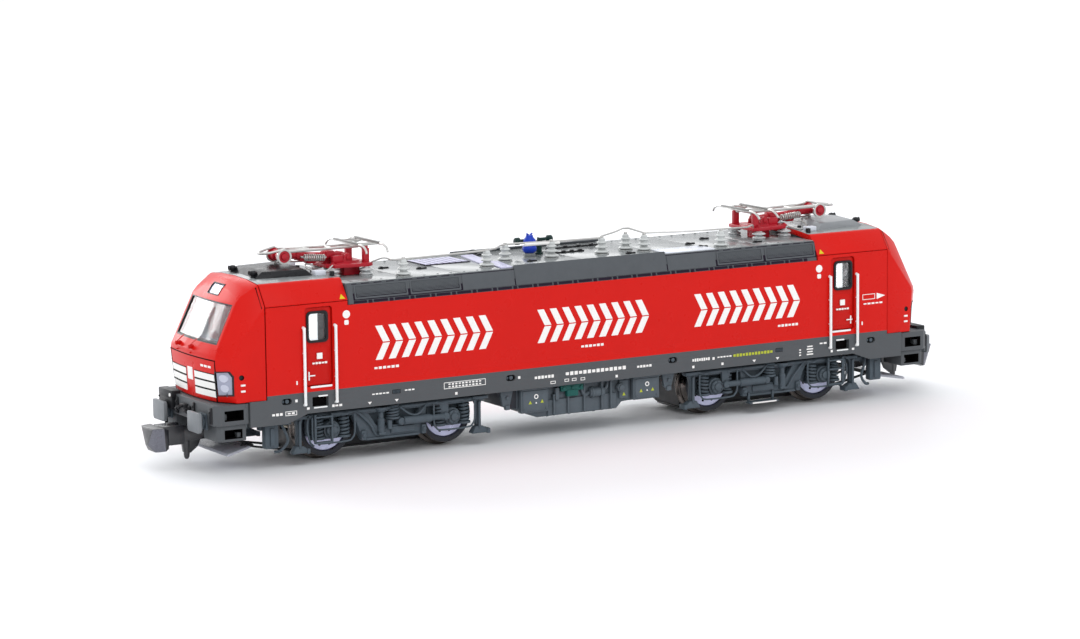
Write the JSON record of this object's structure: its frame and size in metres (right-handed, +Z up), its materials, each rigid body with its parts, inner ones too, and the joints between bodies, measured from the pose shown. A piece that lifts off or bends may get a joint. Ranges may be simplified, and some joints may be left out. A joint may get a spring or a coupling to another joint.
{
  "type": "model electric locomotive",
  "caption": "Model bogie electric locomotive with driven wheelsets, swivelling bogies, raising pantographs, hook couplers and cabs at both ends.",
  "frame": {"origin": "on the ground plane under the wheel flanges, midway along and across the locomotive", "axes": "+X along the locomotive towards its rear cab, +Z up, +Y towards its left side seen from the rear cab's end"},
  "size_m": [0.1272, 0.0186, 0.0289],
  "materials": {
    "gear_plastic": "moulded",
    "shell_red": "satin",
    "slate_plastic": "matt",
    "buffer_grey": "satin",
    "glazing": "clear",
    "diecast": "blackened die-cast metal",
    "board_green": "lacquered",
    "breaker_blue": "satin",
    "black_plastic": "matt",
    "turned_brass": "turned",
    "light_guide": "clear",
    "motor_steel": "plated",
    "shaft_steel": "ground",
    "pantograph_red": "satin",
    "pantograph_wire": "plated",
    "insulator_ivory": "satin",
    "roof_grey": "satin",
    "wheel_metal": "plated"
  },
  "bodies": {
    "locomotive": {"chassis_frame": "diecast", "body_shell": "shell_red", "roof_section": "roof_grey", "circuit_board": "board_green", "motor_case": "motor_steel", "underframe_tank": "slate_plastic", "roof_busbar": "insulator_ivory", "circuit_breaker": "breaker_blue", "cab_glazing_front": "glazing", "light_guide_front": "light_guide", "buffer_beam_front": "slate_plastic", "pantograph_base_front": "pantograph_red", "cab_glazing_rear": "glazing", "light_guide_rear": "light_guide", "buffer_beam_rear": "slate_plastic", "pantograph_base_rear": "pantograph_red", "buffer_front_left": "buffer_grey", "buffer_front_right": "buffer_grey", "buffer_rear_left": "buffer_grey", "buffer_rear_right": "buffer_grey"},
    "motor_rotor": {"motor_shaft": "shaft_steel", "flywheel_front": "turned_brass", "flywheel_rear": "turned_brass"},
    "worm_shaft_front": {"worm_front": "turned_brass"},
    "bogie_front": {"gearcase_front": "black_plastic", "keeper_plate_front": "black_plastic", "side_frame_front_left": "slate_plastic", "side_frame_front_right": "slate_plastic"},
    "drive_gear_front": {"worm_wheel_front": "gear_plastic"},
    "idler_front_outer": {"idler_gear_front_outer": "gear_plastic"},
    "axle_front_outer": {"wheel_pair_front_outer": "wheel_metal", "axle_gear_front_outer": "gear_plastic"},
    "idler_front_inner": {"idler_gear_front_inner": "gear_plastic"},
    "axle_front_inner": {"wheel_pair_front_inner": "wheel_metal", "axle_gear_front_inner": "gear_plastic"},
    "pan_lower_front": {"pantograph_lower_arm_front": "pantograph_red"},
    "pan_upper_front": {"pantograph_upper_arm_front": "pantograph_wire"},
    "pan_head_front": {"pantograph_head_front": "pantograph_wire"},
    "pan_rod_front": {"pantograph_control_rod_front": "pantograph_wire"},
    "coupler_swing_front": {"coupler_pocket_front": "black_plastic"},
    "coupler_front": {"coupler_hook_front": "black_plastic"},
    "worm_shaft_rear": {"worm_rear": "turned_brass"},
    "bogie_rear": {"gearcase_rear": "black_plastic", "keeper_plate_rear": "black_plastic", "side_frame_rear_left": "slate_plastic", "side_frame_rear_right": "slate_plastic"},
    "drive_gear_rear": {"worm_wheel_rear": "gear_plastic"},
    "idler_rear_outer": {"idler_gear_rear_outer": "gear_plastic"},
    "axle_rear_outer": {"wheel_pair_rear_outer": "wheel_metal", "axle_gear_rear_outer": "gear_plastic"},
    "idler_rear_inner": {"idler_gear_rear_inner": "gear_plastic"},
    "axle_rear_inner": {"wheel_pair_rear_inner": "wheel_metal", "axle_gear_rear_inner": "gear_plastic"},
    "pan_lower_rear": {"pantograph_lower_arm_rear": "pantograph_red"},
    "pan_upper_rear": {"pantograph_upper_arm_rear": "pantograph_wire"},
    "pan_head_rear": {"pantograph_head_rear": "pantograph_wire"},
    "pan_rod_rear": {"pantograph_control_rod_rear": "pantograph_wire"},
    "coupler_swing_rear": {"coupler_pocket_rear": "black_plastic"},
    "coupler_rear": {"coupler_hook_rear": "black_plastic"}
  },
  "joints": [
    {"name": "motor_spin", "type": "hinge", "parent": "locomotive", "child": "motor_rotor", "pos_m": [0, 0, 0.01508], "axis": [1, 0, 0], "continuous": true},
    {"name": "worm_spin_front", "type": "hinge", "parent": "locomotive", "child": "worm_shaft_front", "pos_m": [-0.0307, 0, 0.01508], "axis": [1, 0, 0], "continuous": true},
    {"name": "bogie_yaw_front", "type": "hinge", "parent": "locomotive", "child": "bogie_front", "pos_m": [-0.0307, 0, 0.009], "axis": [0, 0, 1], "range_deg": [-9, 9]},
    {"name": "drive_gear_spin_front", "type": "hinge", "parent": "bogie_front", "child": "drive_gear_front", "pos_m": [-0.0307, 0, 0.01038], "axis": [0, 1, 0], "continuous": true},
    {"name": "idler_spin_front_outer", "type": "hinge", "parent": "bogie_front", "child": "idler_front_outer", "pos_m": [-0.0345, 0, 0.00574], "axis": [0, 1, 0], "continuous": true},
    {"name": "axle_spin_front_outer", "type": "hinge", "parent": "bogie_front", "child": "axle_front_outer", "pos_m": [-0.03995, 0, 0.00445], "axis": [0, 1, 0], "continuous": true},
    {"name": "idler_spin_front_inner", "type": "hinge", "parent": "bogie_front", "child": "idler_front_inner", "pos_m": [-0.0269, 0, 0.00574], "axis": [0, 1, 0], "continuous": true},
    {"name": "axle_spin_front_inner", "type": "hinge", "parent": "bogie_front", "child": "axle_front_inner", "pos_m": [-0.02145, 0, 0.00445], "axis": [0, 1, 0], "continuous": true},
    {"name": "pantograph_lift_front", "type": "hinge", "parent": "locomotive", "child": "pan_lower_front", "pos_m": [-0.0339, 0, 0.0267], "axis": [0, 1, 0], "range_deg": [0, 42]},
    {"name": "pantograph_knee_front", "type": "hinge", "parent": "pan_lower_front", "child": "pan_upper_front", "pos_m": [-0.0435, 0, 0.0275], "axis": [0, 1, 0], "range_deg": [-82, 0]},
    {"name": "pantograph_head_tilt_front", "type": "hinge", "parent": "pan_upper_front", "child": "pan_head_front", "pos_m": [-0.0316, 0, 0.028], "axis": [0, 1, 0], "range_deg": [0, 40]},
    {"name": "pantograph_rod_front", "type": "hinge", "parent": "locomotive", "child": "pan_rod_front", "pos_m": [-0.03495, 0.00095, 0.02605], "axis": [0, 1, 0], "range_deg": [0, 43]},
    {"name": "coupler_yaw_front", "type": "hinge", "parent": "locomotive", "child": "coupler_swing_front", "pos_m": [-0.0508, 0, 0.007], "axis": [0, 0, 1], "range_deg": [-10, 10]},
    {"name": "coupler_lift_front", "type": "hinge", "parent": "coupler_swing_front", "child": "coupler_front", "pos_m": [-0.0536, 0, 0.0046], "axis": [0, 1, 0], "range_deg": [0, 12]},
    {"name": "worm_spin_rear", "type": "hinge", "parent": "locomotive", "child": "worm_shaft_rear", "pos_m": [0.0307, 0, 0.01508], "axis": [1, 0, 0], "continuous": true},
    {"name": "bogie_yaw_rear", "type": "hinge", "parent": "locomotive", "child": "bogie_rear", "pos_m": [0.0307, 0, 0.009], "axis": [0, 0, 1], "range_deg": [-9, 9]},
    {"name": "drive_gear_spin_rear", "type": "hinge", "parent": "bogie_rear", "child": "drive_gear_rear", "pos_m": [0.0307, 0, 0.01038], "axis": [0, 1, 0], "continuous": true},
    {"name": "idler_spin_rear_outer", "type": "hinge", "parent": "bogie_rear", "child": "idler_rear_outer", "pos_m": [0.0345, 0, 0.00574], "axis": [0, 1, 0], "continuous": true},
    {"name": "axle_spin_rear_outer", "type": "hinge", "parent": "bogie_rear", "child": "axle_rear_outer", "pos_m": [0.03995, 0, 0.00445], "axis": [0, 1, 0], "continuous": true},
    {"name": "idler_spin_rear_inner", "type": "hinge", "parent": "bogie_rear", "child": "idler_rear_inner", "pos_m": [0.0269, 0, 0.00574], "axis": [0, 1, 0], "continuous": true},
    {"name": "axle_spin_rear_inner", "type": "hinge", "parent": "bogie_rear", "child": "axle_rear_inner", "pos_m": [0.02145, 0, 0.00445], "axis": [0, 1, 0], "continuous": true},
    {"name": "pantograph_lift_rear", "type": "hinge", "parent": "locomotive", "child": "pan_lower_rear", "pos_m": [0.0339, 0, 0.0267], "axis": [0, -1, 0], "range_deg": [0, 42]},
    {"name": "pantograph_knee_rear", "type": "hinge", "parent": "pan_lower_rear", "child": "pan_upper_rear", "pos_m": [0.0435, 0, 0.0275], "axis": [0, -1, 0], "range_deg": [-82, 0]},
    {"name": "pantograph_head_tilt_rear", "type": "hinge", "parent": "pan_upper_rear", "child": "pan_head_rear", "pos_m": [0.0316, 0, 0.028], "axis": [0, -1, 0], "range_deg": [0, 40]},
    {"name": "pantograph_rod_rear", "type": "hinge", "parent": "locomotive", "child": "pan_rod_rear", "pos_m": [0.03495, 0.00095, 0.02605], "axis": [0, -1, 0], "range_deg": [0, 43]},
    {"name": "coupler_yaw_rear", "type": "hinge", "parent": "locomotive", "child": "coupler_swing_rear", "pos_m": [0.0508, 0, 0.007], "axis": [0, 0, 1], "range_deg": [-10, 10]},
    {"name": "coupler_lift_rear", "type": "hinge", "parent": "coupler_swing_rear", "child": "coupler_rear", "pos_m": [0.0536, 0, 0.0046], "axis": [0, -1, 0], "range_deg": [0, 12]}
  ],
  "couplings": [
    {"joint": "worm_spin_front", "follows": "motor_spin", "ratio": 1},
    {"joint": "drive_gear_spin_front", "follows": "motor_spin", "ratio": -0.0625},
    {"joint": "idler_spin_front_outer", "follows": "motor_spin", "ratio": 0.071429},
    {"joint": "axle_spin_front_outer", "follows": "motor_spin", "ratio": -0.071429},
    {"joint": "idler_spin_front_inner", "follows": "motor_spin", "ratio": 0.071429},
    {"joint": "axle_spin_front_inner", "follows": "motor_spin", "ratio": -0.071429},
    {"joint": "pantograph_knee_front", "follows": "pantograph_lift_front", "ratio": -1.915},
    {"joint": "pantograph_head_tilt_front", "follows": "pantograph_lift_front", "ratio": 0.915},
    {"joint": "pantograph_rod_front", "follows": "pantograph_lift_front", "ratio": 1},
    {"joint": "worm_spin_rear", "follows": "motor_spin", "ratio": 1},
    {"joint": "drive_gear_spin_rear", "follows": "motor_spin", "ratio": -0.0625},
    {"joint": "idler_spin_rear_outer", "follows": "motor_spin", "ratio": 0.071429},
    {"joint": "axle_spin_rear_outer", "follows": "motor_spin", "ratio": -0.071429},
    {"joint": "idler_spin_rear_inner", "follows": "motor_spin", "ratio": 0.071429},
    {"joint": "axle_spin_rear_inner", "follows": "motor_spin", "ratio": -0.071429},
    {"joint": "pantograph_knee_rear", "follows": "pantograph_lift_rear", "ratio": -1.915},
    {"joint": "pantograph_head_tilt_rear", "follows": "pantograph_lift_rear", "ratio": 0.915},
    {"joint": "pantograph_rod_rear", "follows": "pantograph_lift_rear", "ratio": 1}
  ]
}
